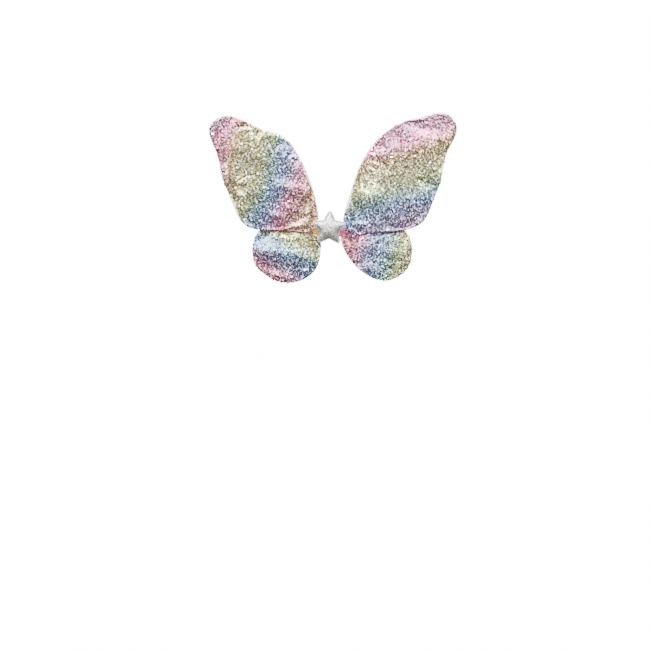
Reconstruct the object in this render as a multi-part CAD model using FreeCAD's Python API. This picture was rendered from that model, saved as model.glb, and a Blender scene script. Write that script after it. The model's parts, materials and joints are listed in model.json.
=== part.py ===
"""Padded sequin fairy wings for a child: two upper and two lower wings on a small stuffed body with a
star on its front, worn on the back by two elastic arm loops.

Frame, in millimetres: the origin is the middle of the back patch's rear face, which lies on the wearer's
back. +Y points at the wearer, +Z is up, and the sequin side faces -Y.
"""

import math
import os

import FreeCAD
import Part

# ---- driving dimensions ----------------------------------------------------------------------------
SWEEP_DEG = 8.0  # the wings rest this far back from the wearer
FOLD_X = 20.0  # the fold line beside the stuffed body, on each side
FOLD_Y = -8.0

UPPER_MID_Y = -10.4  # the plane of each wing's edge seam, before the sweep
LOWER_MID_Y = -5.3
FRONT_RISE = 2.7  # how far the padding lifts each face from that plane
BACK_RISE = 2.3
SEQUIN_CLOTH_T = 1.0
LINING_T = 0.5
FOAM_T_FRONT = 1.6  # the foam sheet, in front of and behind the seam plane
FOAM_T_BACK = 1.7
FOAM_INSET = 6.2
FOAM_START_X = 27.0  # no foam between the fold and here

# The rounded edge of a padded panel: (inset from the outline, share of the full rise).
EDGE_PROFILE = ((0.0, 0.0), (0.4, 0.36), (1.4, 0.68), (3.0, 0.9), (5.0, 1.0))
OUTLINE_SAMPLES = 56

# The root notch that keeps each wing clear of the stuffed body and of its own root tab.
NOTCH_X = 22.4
NOTCH_PAST_MIDDLE = 5.0
NOTCH_Z = 11.8

BODY_HALF_X = 14.5
BODY_TOP_Z = 8.5
BODY_BOTTOM_Z = -9.0
BODY_FRONT_Y = -16.2
BODY_CORNER_R = 3.5
BODY_COVER_T = 0.8

PATCH_HALF_X = 38.0
PATCH_TOP_Z = 9.5
PATCH_BOTTOM_Z = -11.0
PATCH_T = 1.2
PATCH_CORNER_R = 4.0

TAB_END_X = 20.4
TAB_T = 2.2
TAB_HEIGHT = 8.0
TAB_GAP_Z = 0.6
TAB_EDGE_R = 0.6

STRAP_W = 12.0
STRAP_T = 1.2
STRAP_X = 30.0  # the line that each arm loop swings about
STRAP_Y = 6.0
STRAP_SPLAY_DEG = 45.0
STRAP_CLEAR = 0.12
STRAP_SEWN_Y = -PATCH_T - STRAP_T / 2 - STRAP_CLEAR  # its middle, where it is sewn under the patch

STAR_X = -0.3
STAR_TILT_DEG = 2.0
STAR_SHARP_R = 28.7  # the arms' corners before they are rounded
STAR_NOTCH_R = 14.7
STAR_TIP_ROUND = 3.4
STAR_NOTCH_ROUND = 1.6
STAR_BACK_Y = BODY_FRONT_Y
STAR_BACK_T = 1.0
STAR_FRONT_Y = STAR_BACK_Y - STAR_BACK_T  # the front of the felt backing, which the padding lies on
STAR_RIM_T = 1.2
STAR_SKIN_T = 0.8
STAR_SKIN_SCALE = 0.05  # how much smaller the padding is than the face, as a share of the star
# The padded face as (share of the star's size, height above the backing), from its edge to its top.
STAR_DOME = ((0.9, STAR_RIM_T), (0.86, 2.9), (0.76, 4.7), (0.6, 6.1), (0.4, 7.0), (0.15, 7.4))

# Wing outlines as (x, z), round from the root along the inner edge to the tip and back below.
UPPER_LEFT = (
    (-22.0, 0.5), (-16.6, 10.0), (-17.0, 24.0), (-26.5, 62.0), (-45.0, 103.5), (-68.0, 129.2),
    (-93.0, 137.6), (-126.0, 152.0), (-154.0, 154.2), (-169.0, 140.0), (-161.0, 109.0), (-151.0, 70.0),
    (-137.0, 35.0), (-119.5, 5.2), (-88.0, -2.4), (-50.0, -2.8),
)  # fmt: skip
UPPER_RIGHT = (
    (25.0, -2.5), (19.2, 6.0), (20.5, 18.0), (28.0, 43.0), (43.7, 88.0), (67.0, 123.0),
    (104.0, 148.6), (138.0, 157.0), (163.0, 159.3), (179.0, 141.0), (167.0, 108.0), (156.0, 62.6),
    (146.5, 38.6), (132.0, 9.5), (108.0, -2.0), (60.0, -5.5),
)  # fmt: skip
LOWER_LEFT = (
    (-21.0, 1.5), (-13.8, -8.0), (-12.5, -30.0), (-19.7, -57.0), (-40.0, -72.3), (-62.0, -75.8),
    (-88.0, -66.5), (-105.0, -49.0), (-107.8, -25.0), (-98.0, -3.0), (-86.0, 3.2), (-50.0, 3.5),
)  # fmt: skip
LOWER_RIGHT = (
    (22.0, -0.5), (16.0, -9.0), (19.7, -26.5), (33.8, -49.0), (55.0, -66.0), (78.0, -72.2),
    (98.0, -66.5), (112.5, -50.0), (115.8, -29.0), (108.0, -6.0), (97.0, 1.5), (60.0, 1.5),
)  # fmt: skip

# The arm loop's middle line, as (out from the swing line, z), and its two sewn ends, as (y, z).
LOOP_LINE = (
    (0.0, 25.5), (9.0, 47.0), (28.0, 70.0), (52.0, 78.0), (78.0, 66.0), (92.0, 36.0),
    (90.0, 2.0), (74.0, -28.0), (48.0, -45.0), (22.0, -43.0), (5.0, -32.0), (0.0, -23.5),
)  # fmt: skip
UPPER_END_LINE = (
    (STRAP_SEWN_Y, 1.0), (STRAP_SEWN_Y, 5.0), (STRAP_SEWN_Y, 9.0), (STRAP_SEWN_Y, 10.4),
    (STRAP_SEWN_Y, 11.6), (0.6, 17.0), (STRAP_Y, 24.5),
)  # fmt: skip
LOWER_END_LINE = (
    (STRAP_SEWN_Y, -1.5), (STRAP_SEWN_Y, -6.0), (STRAP_SEWN_Y, -10.4), (STRAP_SEWN_Y, -11.8),
    (STRAP_SEWN_Y, -13.0), (0.9, -17.5), (STRAP_Y, -22.5),
)  # fmt: skip

# Thread tacks that hold the upper and lower wing together, as (x, z).
TACKS = {"left": ((-50.0, 0.4), (-80.0, 0.4)), "right": ((54.0, -1.9), (86.0, -1.0))}
TACK_R = 0.9

STRAP_SAMPLES = 40
BIG = 400.0  # past the edge of everything


def vector(x, y, z):
    return FreeCAD.Vector(x, y, z)


def export(name, shape):
    """Writes one sub-part, after a check that every solid in it is sound."""
    solids = shape.Solids
    if not solids or not all(s.isValid() and s.Volume > 0 for s in solids):
        raise ValueError(f"{name} has no valid solid")
    Part.makeCompound(solids).exportStep(f"parts/{name}.step")
    box = shape.BoundBox
    print(
        f"{name}: {len(solids)} solid(s), {sum(s.Volume for s in solids):.0f} mm3,"
        f" {box.XLength:.1f} x {box.YLength:.1f} x {box.ZLength:.1f}"
    )


def box_between(low, high):
    return Part.makeBox(high[0] - low[0], high[1] - low[1], high[2] - low[2], vector(*low))


# ---- padded panels ---------------------------------------------------------------------------------
def outline_frame(points):
    """Even samples of the closed curve through the points, each with its inward normal, in X and Z."""
    curve = Part.BSplineCurve()
    curve.interpolate(Points=[vector(x, 0, z) for x, z in points], PeriodicFlag=True)
    length = curve.length()
    ring = []
    for i in range(OUTLINE_SAMPLES):
        at = curve.parameterAtDistance(length * i / OUTLINE_SAMPLES)
        ring.append((curve.value(at), curve.tangent(at)[0]))
    area = sum(
        a.x * b.z - b.x * a.z for (a, _), (b, _) in zip(ring, ring[1:] + ring[:1], strict=True)
    )
    turn = 1.0 if area > 0 else -1.0
    return [(p, vector(-turn * t.z, 0, turn * t.x)) for p, t in ring]


def section(ring, inset, y):
    """The outline, taken in by inset, as a wire in the plane at y."""
    curve = Part.BSplineCurve()
    points = [vector(p.x + n.x * inset, y, p.z + n.z * inset) for p, n in ring]
    curve.interpolate(Points=points, PeriodicFlag=True)
    return Part.Wire(curve.toShape())


def half_panel(ring, mid_y, rise, wall=0.0):
    """Half of a padded panel, from the seam plane to its face. With a wall, the hollow inside it."""
    wires = []
    for inset, share in EDGE_PROFILE:
        height = rise * share * (1 - wall / abs(rise))
        wires.append(section(ring, inset + wall, mid_y + height))
    return Part.makeLoft(wires, True, True)


def panel_shell(ring, mid_y, rise, wall):
    return half_panel(ring, mid_y, rise).cut(half_panel(ring, mid_y, rise, wall))


def foam_sheet(ring, mid_y, side):
    """The flat foam sheet inside a wing, cut off before the fold."""
    face = Part.Face(section(ring, FOAM_INSET, mid_y - FOAM_T_FRONT))
    sheet = face.extrude(vector(0, FOAM_T_FRONT + FOAM_T_BACK, 0))
    keep = sorted((side * FOAM_START_X, side * BIG))
    return sheet.common(box_between((keep[0], -BIG, -BIG), (keep[1], BIG, BIG)))


def swept(shape, side):
    """The shape turned back by the rest sweep, about its fold line."""
    turned = shape.copy()
    turned.rotate(vector(side * FOLD_X, FOLD_Y, 0), vector(0, 0, 1), -side * SWEEP_DEG)
    return turned


def root_notch(side):
    low, high = sorted((-side * NOTCH_PAST_MIDDLE, side * NOTCH_X))
    return box_between((low, -BIG, -NOTCH_Z), (high, BIG, NOTCH_Z))


def make_wing(name, points, mid_y, side):
    ring = outline_frame(points)
    notch = root_notch(side)
    cloth = panel_shell(ring, mid_y, -FRONT_RISE, SEQUIN_CLOTH_T).cut(notch)
    lining = panel_shell(ring, mid_y, BACK_RISE, LINING_T).cut(notch)
    export(f"{name}_sequin_cloth", swept(cloth, side))
    export(f"{name}_lining", swept(lining, side))
    export(f"{name}_foam", swept(foam_sheet(ring, mid_y, side), side))


def make_tacks(name, side):
    """Two stitches through the lining of the upper wing and the face of the lower one."""
    start = UPPER_MID_Y + BACK_RISE - LINING_T
    end = LOWER_MID_Y - FRONT_RISE + SEQUIN_CLOTH_T
    pins = [
        Part.makeCylinder(TACK_R, end - start, vector(x, start, z), vector(0, 1, 0))
        for x, z in TACKS[name]
    ]
    export(f"{name}_wing_tacks", swept(Part.makeCompound(pins), side))


# ---- stuffed body, patch and root tabs ---------------------------------------------------------------
def rounded_block(low, high, radius, edges_along):
    """A block with rounded edges; edges_along picks the edges by their direction, or all of them."""
    block = box_between(low, high)
    chosen = []
    for edge in block.Edges:
        run = edge.Vertexes[1].Point - edge.Vertexes[0].Point
        if edges_along is None or abs(run.dot(edges_along)) > 0.99 * run.Length:
            chosen.append(edge)
    return block.makeFillet(radius, chosen)


def body_block(inset):
    return rounded_block(
        (-BODY_HALF_X + inset, BODY_FRONT_Y + inset, BODY_BOTTOM_Z + inset),
        (BODY_HALF_X - inset, -PATCH_T - inset, BODY_TOP_Z - inset),
        BODY_CORNER_R - inset,
        None,
    )


def make_body():
    filling = body_block(BODY_COVER_T)
    export("body_cover", body_block(0).cut(filling))
    export("body_filling", filling)
    patch = rounded_block(
        (-PATCH_HALF_X, -PATCH_T, PATCH_BOTTOM_Z),
        (PATCH_HALF_X, 0, PATCH_TOP_Z),
        PATCH_CORNER_R,
        vector(0, 1, 0),
    )
    export("back_patch", patch)


def make_root_tab(name, mid_y, side, rows_up):
    """The unpadded end of a wing's two cloths, from the side of the stuffed body to the fold."""
    low_x, high_x = sorted((side * BODY_HALF_X, side * TAB_END_X))
    low_z, high_z = sorted((rows_up * TAB_GAP_Z, rows_up * (TAB_GAP_Z + TAB_HEIGHT)))
    tab = rounded_block(
        (low_x, mid_y - TAB_T / 2, low_z),
        (high_x, mid_y + TAB_T / 2, high_z),
        TAB_EDGE_R,
        vector(1, 0, 0),
    )
    export(name, tab)


# ---- star ------------------------------------------------------------------------------------------
def star_outline():
    """The star's outline at full size about the origin, in the plane y = 0, as a wire."""
    corners = []
    for i in range(10):
        radius = STAR_SHARP_R if i % 2 == 0 else STAR_NOTCH_R
        angle = math.radians(90 - STAR_TILT_DEG + 36 * i)
        corners.append(vector(radius * math.cos(angle), 0, radius * math.sin(angle)))
    plate = Part.Face(Part.makePolygon(corners + corners[:1])).extrude(vector(0, -1, 0))
    halfway = (STAR_SHARP_R + STAR_NOTCH_R) / 2
    tips = [e for e in upright_edges(plate) if distance_out(e) > halfway]
    plate = plate.makeFillet(STAR_TIP_ROUND, tips)
    notches = [e for e in upright_edges(plate) if distance_out(e) < STAR_NOTCH_R + 0.5]
    plate = plate.makeFillet(STAR_NOTCH_ROUND, notches)
    return max(plate.Faces, key=lambda face: face.CenterOfMass.y).OuterWire


def upright_edges(plate):
    """The edges that run from a plate's front to its back."""
    ends = [(e, e.Vertexes[0].Point, e.Vertexes[-1].Point) for e in plate.Edges]
    return [e for e, a, b in ends if abs(a.y - b.y) > 0.5]


def distance_out(edge):
    at = edge.Vertexes[0].Point
    return math.hypot(at.x, at.z)


def star_wire(outline, scale, y):
    """The star's outline at a scale, in the plane at y."""
    matrix = FreeCAD.Matrix()
    matrix.scale(scale, 1, scale)
    wire = outline.transformGeometry(matrix)
    wire.translate(vector(STAR_X, y, 0))
    return wire


def star_plate(outline, y, thickness):
    """A star-shaped plate with its back at y."""
    return Part.Face(star_wire(outline, 1.0, y)).extrude(vector(0, -thickness, 0))


def star_dome(outline, sections):
    """A padded star built up from (scale, height above the backing) sections."""
    wires = [star_wire(outline, scale, STAR_FRONT_Y - height) for scale, height in sections]
    return Part.makeLoft(wires, True, True)


def make_star():
    outline = star_outline()
    export("star_backing", star_plate(outline, STAR_BACK_Y, STAR_BACK_T))
    inner = [(scale - STAR_SKIN_SCALE, height - STAR_SKIN_T) for scale, height in STAR_DOME]
    padding = star_dome(outline, [(inner[0][0], 0.0)] + inner[1:])
    rim = star_plate(outline, STAR_FRONT_Y, STAR_RIM_T)
    export("star_face", rim.fuse(star_dome(outline, STAR_DOME)).removeSplitter().cut(padding))
    export("star_padding", padding)


# ---- arm loops -------------------------------------------------------------------------------------
def band(points):
    """A flat band of strap along a line of (y, z) points, its width centred on x = 0, and its length."""
    line = Part.BSplineCurve()
    line.interpolate(Points=[vector(0, y, z) for y, z in points])
    length = line.length()
    edges = ([], [])
    for i in range(STRAP_SAMPLES + 1):
        at = line.parameterAtDistance(length * i / STRAP_SAMPLES)
        p, t = line.value(at), line.tangent(at)[0]
        for edge, sign in zip(edges, (1, -1), strict=True):
            edge.append(p + vector(0, -t.z, t.y) * (sign * STRAP_T / 2))
    curves = []
    for edge in edges:
        curve = Part.BSplineCurve()
        curve.interpolate(Points=edge)
        curves.append(curve.toShape())
    ends = [Part.LineSegment(edges[0][k], edges[1][k]).toShape() for k in (0, -1)]
    wire = Part.Wire(Part.sortEdges([curves[0], ends[1], curves[1], ends[0]])[0])
    solid = Part.Face(wire).extrude(vector(STRAP_W, 0, 0))
    solid.translate(vector(-STRAP_W / 2, 0, 0))
    return solid, length


def make_strap(name, side):
    total = 0.0
    for end, points in (("upper", UPPER_END_LINE), ("lower", LOWER_END_LINE)):
        solid, length = band(points)
        solid.translate(vector(side * STRAP_X, 0, 0))
        export(f"{name}_strap_{end}_end", solid)
        total += length
    loop, length = band(LOOP_LINE)
    loop.rotate(vector(0, 0, 0), vector(0, 0, 1), -side * STRAP_SPLAY_DEG)
    loop.translate(vector(side * STRAP_X, STRAP_Y, 0))
    export(f"{name}_strap_loop", loop)
    print(f"{name} strap is {total + length:.0f} mm long")


os.makedirs("parts", exist_ok=True)
make_body()
make_star()
for side_name, side_sign, upper, lower in (
    ("left", -1, UPPER_LEFT, LOWER_LEFT),
    ("right", 1, UPPER_RIGHT, LOWER_RIGHT),
):
    make_wing(f"upper_{side_name}", upper, UPPER_MID_Y, side_sign)
    make_wing(f"lower_{side_name}", lower, LOWER_MID_Y, side_sign)
    make_tacks(side_name, side_sign)
    make_root_tab(f"upper_{side_name}_root_tab", UPPER_MID_Y, side_sign, 1)
    make_root_tab(f"lower_{side_name}_root_tab", LOWER_MID_Y, side_sign, -1)
    make_strap(side_name, side_sign)
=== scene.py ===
import json
import math

import bmesh
import bpy
import numpy as np
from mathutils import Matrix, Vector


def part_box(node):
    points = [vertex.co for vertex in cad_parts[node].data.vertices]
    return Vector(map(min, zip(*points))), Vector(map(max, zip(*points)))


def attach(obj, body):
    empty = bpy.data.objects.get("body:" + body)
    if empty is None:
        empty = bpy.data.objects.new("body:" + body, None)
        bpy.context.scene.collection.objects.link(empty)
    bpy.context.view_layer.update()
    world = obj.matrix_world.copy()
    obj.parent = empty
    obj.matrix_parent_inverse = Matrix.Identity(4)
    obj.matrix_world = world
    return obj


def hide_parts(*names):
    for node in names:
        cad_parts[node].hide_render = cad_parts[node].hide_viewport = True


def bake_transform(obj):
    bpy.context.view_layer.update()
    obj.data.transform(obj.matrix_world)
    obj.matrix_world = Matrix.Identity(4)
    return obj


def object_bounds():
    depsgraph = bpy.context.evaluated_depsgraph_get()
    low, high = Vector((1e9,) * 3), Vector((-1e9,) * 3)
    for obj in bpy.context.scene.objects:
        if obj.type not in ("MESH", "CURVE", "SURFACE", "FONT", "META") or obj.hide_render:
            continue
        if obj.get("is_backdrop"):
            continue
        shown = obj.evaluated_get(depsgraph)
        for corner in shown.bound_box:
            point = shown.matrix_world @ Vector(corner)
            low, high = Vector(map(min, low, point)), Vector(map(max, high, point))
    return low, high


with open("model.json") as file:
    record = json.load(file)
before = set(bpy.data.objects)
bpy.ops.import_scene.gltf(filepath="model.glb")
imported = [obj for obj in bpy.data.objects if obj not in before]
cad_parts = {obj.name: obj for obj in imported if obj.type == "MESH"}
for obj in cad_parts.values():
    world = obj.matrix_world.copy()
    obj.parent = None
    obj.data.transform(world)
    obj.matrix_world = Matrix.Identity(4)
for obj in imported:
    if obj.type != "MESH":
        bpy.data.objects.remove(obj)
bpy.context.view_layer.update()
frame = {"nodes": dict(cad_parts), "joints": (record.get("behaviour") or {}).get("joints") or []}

MM = 0.001

# ---- camera ----
# A long lens, level, a little below the wings, so that they sit in the upper middle of the view.
CAMERA_DISTANCE = 3.0
VIEW_WIDTH = 917 * MM
camera_data = bpy.data.cameras.new("camera")
camera_data.lens = camera_data.sensor_width * CAMERA_DISTANCE / VIEW_WIDTH
camera = bpy.data.objects.new("camera", camera_data)
camera.location = (-6.4 * MM, -CAMERA_DISTANCE, -135.5 * MM)
camera.rotation_euler = (math.pi / 2, 0, 0)
bpy.context.scene.collection.objects.link(camera)
bpy.context.scene.camera = camera


# ---- studio ----
# A white backdrop and a pale floor that casts no light on the wings. The room that the sequins mirror is
# dim, and brighter to the sides and overhead. A window glows high in front, among soft boxes.
class Wire:
    """A shader socket that can be added, multiplied and so on like a number."""

    def __init__(self, finish, socket):
        self.finish = finish
        self.socket = socket

    def _math(self, operation, first, second=None):
        return self.finish.node("ShaderNodeMath", {"operation": operation}, [first, second])

    def __add__(self, other):
        return self._math("ADD", self, other)

    __radd__ = __add__

    def __sub__(self, other):
        return self._math("SUBTRACT", self, other)

    def __rsub__(self, other):
        return self._math("SUBTRACT", other, self)

    def __mul__(self, other):
        return self._math("MULTIPLY", self, other)

    __rmul__ = __mul__

    def __mod__(self, other):
        return self._math("FLOORED_MODULO", self, other)

    def __pow__(self, other):
        return self._math("POWER", self, other)

    def clipped(self, low, high):
        return self.finish.node("ShaderNodeClamp", {}, [self, low, high])

    def sine(self):
        return self._math("SINE", self)


class Finish:
    """A node tree being written: node() adds any node and gives back its output as a Wire."""

    def __init__(self, tree, shader=None):
        self.tree = tree
        self.shader = shader

    def node(self, kind, settings, inputs=(), output=0):
        """Adds a node of that kind, sets its settings first, then fills or links its input sockets."""
        made = self.tree.nodes.new(kind)
        for name, value in settings.items():
            if name == "stops":
                self._set_stops(made.color_ramp, value)
            else:
                setattr(made, name, value)
        pairs = inputs.items() if isinstance(inputs, dict) else enumerate(inputs)
        for key, value in pairs:
            socket = made.inputs[key]
            if isinstance(value, Wire):
                self.tree.links.new(value.socket, socket)
            elif value is not None:
                socket.default_value = value
        return Wire(self, made.outputs[output]) if len(made.outputs) else None

    @staticmethod
    def _set_stops(ramp, stops):
        """Gives a colour ramp its stops, each a place from 0 to 1 and a linear colour."""
        while len(ramp.elements) < len(stops):
            ramp.elements.new(1.0)
        for element, (place, colour) in zip(ramp.elements, stops, strict=True):
            element.position = place
            element.color = (*colour, 1.0)

    def mix(self, factor, first, second, blend="MIX"):
        """Two colours mixed by a factor."""
        settings = {"data_type": "RGBA", "blend_type": blend}
        return self.node("ShaderNodeMix", settings, {0: factor, 6: first, 7: second}, output=2)

    def place(self):
        return self.node("ShaderNodeTexCoord", {}, output="Object")

    def attribute(self, name):
        return self.node("ShaderNodeAttribute", {"attribute_name": name}, output="Fac")

    def axis(self, vector, name):
        return self.node("ShaderNodeSeparateXYZ", {}, [vector], output=name)

    def noise(self, scale, detail):
        inputs = {"Vector": self.place(), "Scale": scale, "Detail": detail}
        return self.node("ShaderNodeTexNoise", {}, inputs)

    def cells(self, scale, output="Distance"):
        inputs = {"Vector": self.place(), "Scale": scale}
        return self.node("ShaderNodeTexVoronoi", {}, inputs, output)

    def vector_math(self, operation, inputs):
        return self.node("ShaderNodeVectorMath", {"operation": operation}, inputs)

    def bump(self, height, strength, distance):
        """A normal that rises and falls with the height, by up to the distance in metres."""
        inputs = {"Strength": strength, "Distance": distance, "Height": height}
        return self.node("ShaderNodeBump", {}, inputs)

    def connect(self, **wires):
        """Links wires to the shader's sockets, named with _ for a space."""
        for socket, wire in wires.items():
            self.tree.links.new(wire.socket, self.shader.inputs[socket.replace("_", " ")])


BACKDROP_LIGHT = 16.0
ROOM_LIGHT = 0.36
SIDE_LIGHT = 0.9
OVERHEAD_LIGHT = 2.6
WINDOW_LIGHT = 480.0
WINDOW_TOWARD = (-0.10, -0.80, 0.59)
WINDOW_EDGE = 0.93
WINDOW_RISE = 0.035

world = bpy.data.worlds.new("studio")
world.use_nodes = True
world.node_tree.nodes.clear()
sky = Finish(world.node_tree)
toward = sky.node("ShaderNodeTexCoord", {}, output="Generated")
toward_x, toward_y, toward_z = (sky.axis(toward, name) for name in "XYZ")
aside = (1.0 + toward_y).clipped(0.0, 1.0) ** 2.0
above = (toward_z + 0.08).clipped(0.0, 1.0) ** 1.35
window_x, window_y, window_z = WINDOW_TOWARD
window = window_z * toward_z + window_y * toward_y + window_x * toward_x - WINDOW_EDGE
room = ROOM_LIGHT + SIDE_LIGHT * aside + OVERHEAD_LIGHT * above
room = room + WINDOW_LIGHT * window.clipped(0.0, WINDOW_RISE)
seen = sky.node("ShaderNodeLightPath", {}, output="Is Camera Ray")
brightness = seen * BACKDROP_LIGHT + (1.0 - seen) * room
background = sky.node("ShaderNodeBackground", {}, {"Color": (1, 1, 1, 1), "Strength": brightness})
sky.node("ShaderNodeOutputWorld", {}, [background])
bpy.context.scene.world = world

SOFT_BOXES = (
    # name, place, width, power in watts
    ("key_box", (-1.1, -0.9, 2.6), 1.1, 520.0),
    ("fill_box", (1.5, -1.0, 2.2), 1.0, 180.0),
    ("top_box", (0.1, -0.5, 2.4), 1.2, 150.0),
    ("rear_box", (0.9, 1.7, 1.9), 0.9, 60.0),
)
for box_name, place, width, power in SOFT_BOXES:
    light = bpy.data.lights.new(box_name, "AREA")
    light.shape = "SQUARE"
    light.size = width
    light.energy = power
    lamp = bpy.data.objects.new(box_name, light)
    lamp.location = place
    aim = -np.array(place)
    lamp.rotation_euler = (
        math.atan2(math.hypot(aim[0], aim[1]), -aim[2]),
        0.0,
        math.atan2(-aim[0], aim[1]),
    )
    bpy.context.scene.collection.objects.link(lamp)


def new_material(name, **plain):
    """A material whose shader takes its plain numbers and colours on its own sockets."""
    material = bpy.data.materials.new(name)
    material.use_nodes = True
    shader = material.node_tree.nodes["Principled BSDF"]
    for socket, value in plain.items():
        shader.inputs[socket.replace("_", " ")].default_value = value
    return material, Finish(material.node_tree, shader)


def new_piece(name, vertices, faces, material, smooth=True):
    """A mesh object from an array of points and an array of faces, with one material."""
    mesh = bpy.data.meshes.new(name)
    points = np.ascontiguousarray(vertices, dtype=np.float32).reshape(-1, 3)
    faces = np.ascontiguousarray(faces, dtype=np.int32)
    count, corners = faces.shape
    mesh.vertices.add(len(points))
    mesh.vertices.foreach_set("co", points.ravel())
    mesh.loops.add(faces.size)
    mesh.loops.foreach_set("vertex_index", faces.ravel())
    mesh.polygons.add(count)
    mesh.polygons.foreach_set("loop_start", np.arange(0, faces.size, corners, dtype=np.int32))
    mesh.polygons.foreach_set("loop_total", np.full(count, corners, dtype=np.int32))
    mesh.update(calc_edges=True)
    mesh.validate()
    mesh.polygons.foreach_set("use_smooth", np.full(len(mesh.polygons), smooth))
    mesh.materials.append(material)
    piece = bpy.data.objects.new(name, mesh)
    bpy.context.scene.collection.objects.link(piece)
    return piece


def set_attribute(piece, name, values):
    """A number for each point of the piece, which its material can read."""
    attribute = piece.data.attributes.new(name, "FLOAT", "POINT")
    attribute.data.foreach_set("value", np.ascontiguousarray(values, dtype=np.float32).ravel())


def strip_faces(rows, columns, close_rows=False, close_columns=False, start=0):
    """Quads over a grid of points. A closed direction joins its last line to its first."""
    r = np.arange(rows if close_rows else rows - 1)[:, None]
    c = np.arange(columns if close_columns else columns - 1)[None, :]
    r2, c2 = (r + 1) % rows, (c + 1) % columns
    quads = np.stack(
        np.broadcast_arrays(r * columns + c, r * columns + c2, r2 * columns + c2, r2 * columns + c),
        axis=-1,
    )
    return quads.reshape(-1, 4) + start


floor_material, _ = new_material("floor_paint", Base_Color=(0.9, 0.9, 0.9, 1), Roughness=0.8)
FLOOR_Z = -1.0
FLOOR_RADIUS = 2.3
FLOOR_SIDES = 96
floor_turn = np.linspace(0, 2 * np.pi, FLOOR_SIDES, endpoint=False)[None, :]
floor_reach = np.array([0.0, 1.0])[:, None] * FLOOR_RADIUS
floor_flat = [floor_reach * np.cos(floor_turn), floor_reach * np.sin(floor_turn)]
floor_points = np.stack([*floor_flat, np.full_like(floor_flat[0], FLOOR_Z)], axis=-1)
floor = new_piece("floor", floor_points, strip_faces(2, FLOOR_SIDES, close_columns=True), floor_material)
floor.visible_glossy = False
floor.visible_diffuse = False
floor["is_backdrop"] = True


# ---- wing cloth ----
# Each wing is cut from one rainbow-printed sequin cloth in front and pink satin behind, sewn face to
# face, turned, stuffed with a foam sheet, and left soft enough to pucker.
GRID = {"upper": 97, "lower": 73}
FRONT_SWELL = {"upper": 2.7 * MM, "lower": 2.5 * MM}
BACK_SWELL = 2.1 * MM
EDGE_ROUND = 4.0 * MM
CLOTH_T = 0.5 * MM
# Where a pucker squeezes the wing, its two outer surfaces still stay this far apart.
LEAST_GAP = 1.5 * MM
FOLD_JOINTS = {joint["child"]: joint for joint in frame["joints"] if "fold" in joint["name"]}
# How much of its swell a wing is given before it is blown up, and how it is blown up.
FIRST_SWELL = 0.75
PRESSURE = 3.0
SPARE_CLOTH = 0.05
FARTHEST_PUFF = 1.5 * MM
CLOTH_STEPS = 20
OUTLINE_SLICES = 420
ROOT_BOX = (25 * MM, 12 * MM)


def spin(points, about, degrees):
    """The points turned about a vertical line."""
    cos, sin = math.cos(math.radians(degrees)), math.sin(math.radians(degrees))
    x, y = points[..., 0] - about[0], points[..., 1] - about[1]
    return np.stack([x * cos - y * sin + about[0], x * sin + y * cos + about[1], points[..., 2]], axis=-1)


def read_points(mesh):
    """A mesh's points as an array."""
    co = np.zeros(len(mesh.vertices) * 3, np.float32)
    mesh.vertices.foreach_get("co", co)
    return co.reshape(-1, 3).astype(float)


def upright(flat, y):
    """Places given as x and z, each at the y given for it."""
    return np.stack([flat[..., 0], np.broadcast_to(y, flat.shape[:-1]), flat[..., 1]], axis=-1)


def rounded(depth, radius):
    """A quarter circle: 0 at the edge, and 1 from the radius inwards."""
    return np.sqrt(np.clip(1 - (1 - np.clip(depth / radius, 0, 1)) ** 2, 0, 1))


def bell(distance, width):
    return np.exp(-((distance / width) ** 2))


def unit(vectors):
    """The vectors made one long."""
    return vectors / np.maximum(np.linalg.norm(vectors, axis=-1, keepdims=True), 1e-12)


def full_turn(count):
    """Equal steps once round, without the last, which is the first again."""
    return np.linspace(0, 2 * np.pi, count, endpoint=False)


def circle(angle):
    return np.stack([np.cos(angle), np.sin(angle)], axis=-1)


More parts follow.
